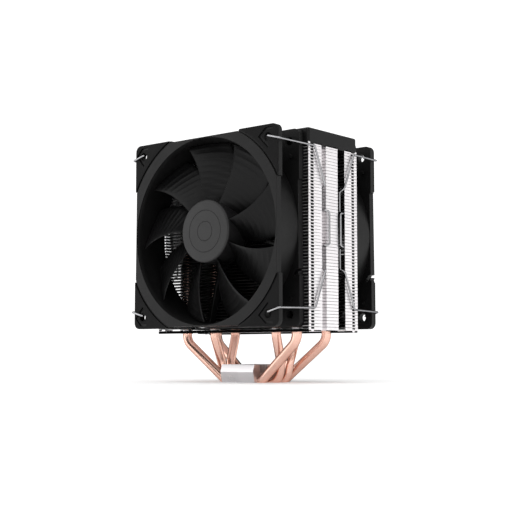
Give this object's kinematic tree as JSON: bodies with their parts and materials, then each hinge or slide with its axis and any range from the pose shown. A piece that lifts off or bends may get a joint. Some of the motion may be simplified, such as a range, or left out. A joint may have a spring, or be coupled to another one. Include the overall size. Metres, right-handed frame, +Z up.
{
  "type": "cpu tower cooler",
  "caption": "Tower heat sink for a processor: stacked fins on U-shaped heat pipes, a milled contact base, and a fan clipped to each side with spring wires.",
  "frame": {"origin": "middle of the base's underside, which rests on the processor", "axes": "+Z up along the tower, X across the fans, +Y the way the air flows"},
  "size_m": [0.1304, 0.1036, 0.155],
  "materials": {
    "fins": "satin stamped sheet",
    "base": "fine milled",
    "pipe": "bright copper tube",
    "cover": "fine textured black",
    "frame": "fine textured black",
    "blades": "smooth dark moulding",
    "wire": "bright drawn wire",
    "yoke": "zinc-plated pressing",
    "magnet": "bonded ferrite, dark grey",
    "shaft": "ground steel",
    "bronze": "sintered bronze",
    "laminations": "stacked steel sheet",
    "winding": "enamelled copper wire",
    "board": "green solder mask",
    "label": "blank foil label"
  },
  "bodies": {
    "cooler": {"base_block": "base", "fin_stack": "fins", "top_cover": "cover", "heat_pipe_1": "pipe", "heat_pipe_2": "pipe", "heat_pipe_3": "pipe", "heat_pipe_4": "pipe", "front_fan_frame": "frame", "front_bearing_sleeve": "bronze", "front_stator_core": "laminations", "front_circuit_board": "board", "front_motor_label": "label", "front_stator_coil_1": "winding", "front_stator_coil_2": "winding", "front_stator_coil_3": "winding", "front_stator_coil_4": "winding", "rear_fan_frame": "frame", "rear_bearing_sleeve": "bronze", "rear_stator_core": "laminations", "rear_circuit_board": "board", "rear_motor_label": "label", "rear_stator_coil_1": "winding", "rear_stator_coil_2": "winding", "rear_stator_coil_3": "winding", "rear_stator_coil_4": "winding"},
    "front_rotor": {"front_impeller": "blades", "front_rotor_yoke": "yoke", "front_magnet_ring": "magnet", "front_shaft": "shaft", "front_shaft_lock_ring": "yoke"},
    "rear_rotor": {"rear_impeller": "blades", "rear_rotor_yoke": "yoke", "rear_magnet_ring": "magnet", "rear_shaft": "shaft", "rear_shaft_lock_ring": "yoke"},
    "front_left_clip": {"front_left_clip": "wire"},
    "front_right_clip": {"front_right_clip": "wire"},
    "rear_left_clip": {"rear_left_clip": "wire"},
    "rear_right_clip": {"rear_right_clip": "wire"}
  },
  "joints": [
    {"name": "front_fan_spin", "type": "hinge", "parent": "cooler", "child": "front_rotor", "pos_m": [0, -0.038, 0.094], "axis": [0, -1, 0], "continuous": true},
    {"name": "rear_fan_spin", "type": "hinge", "parent": "cooler", "child": "rear_rotor", "pos_m": [0, 0.038, 0.094], "axis": [0, -1, 0], "continuous": true},
    {"name": "front_left_clip_swing", "type": "hinge", "parent": "cooler", "child": "front_left_clip", "pos_m": [-0.0525, -0.0512, 0.0948], "axis": [0, 0, 1], "range_deg": [0, 40]},
    {"name": "front_right_clip_swing", "type": "hinge", "parent": "cooler", "child": "front_right_clip", "pos_m": [0.0525, -0.0512, 0.0948], "axis": [0, 0, -1], "range_deg": [0, 40]},
    {"name": "rear_left_clip_swing", "type": "hinge", "parent": "cooler", "child": "rear_left_clip", "pos_m": [-0.0525, 0.0512, 0.0948], "axis": [0, 0, -1], "range_deg": [0, 40]},
    {"name": "rear_right_clip_swing", "type": "hinge", "parent": "cooler", "child": "rear_right_clip", "pos_m": [0.0525, 0.0512, 0.0948], "axis": [0, 0, 1], "range_deg": [0, 40]}
  ]
}
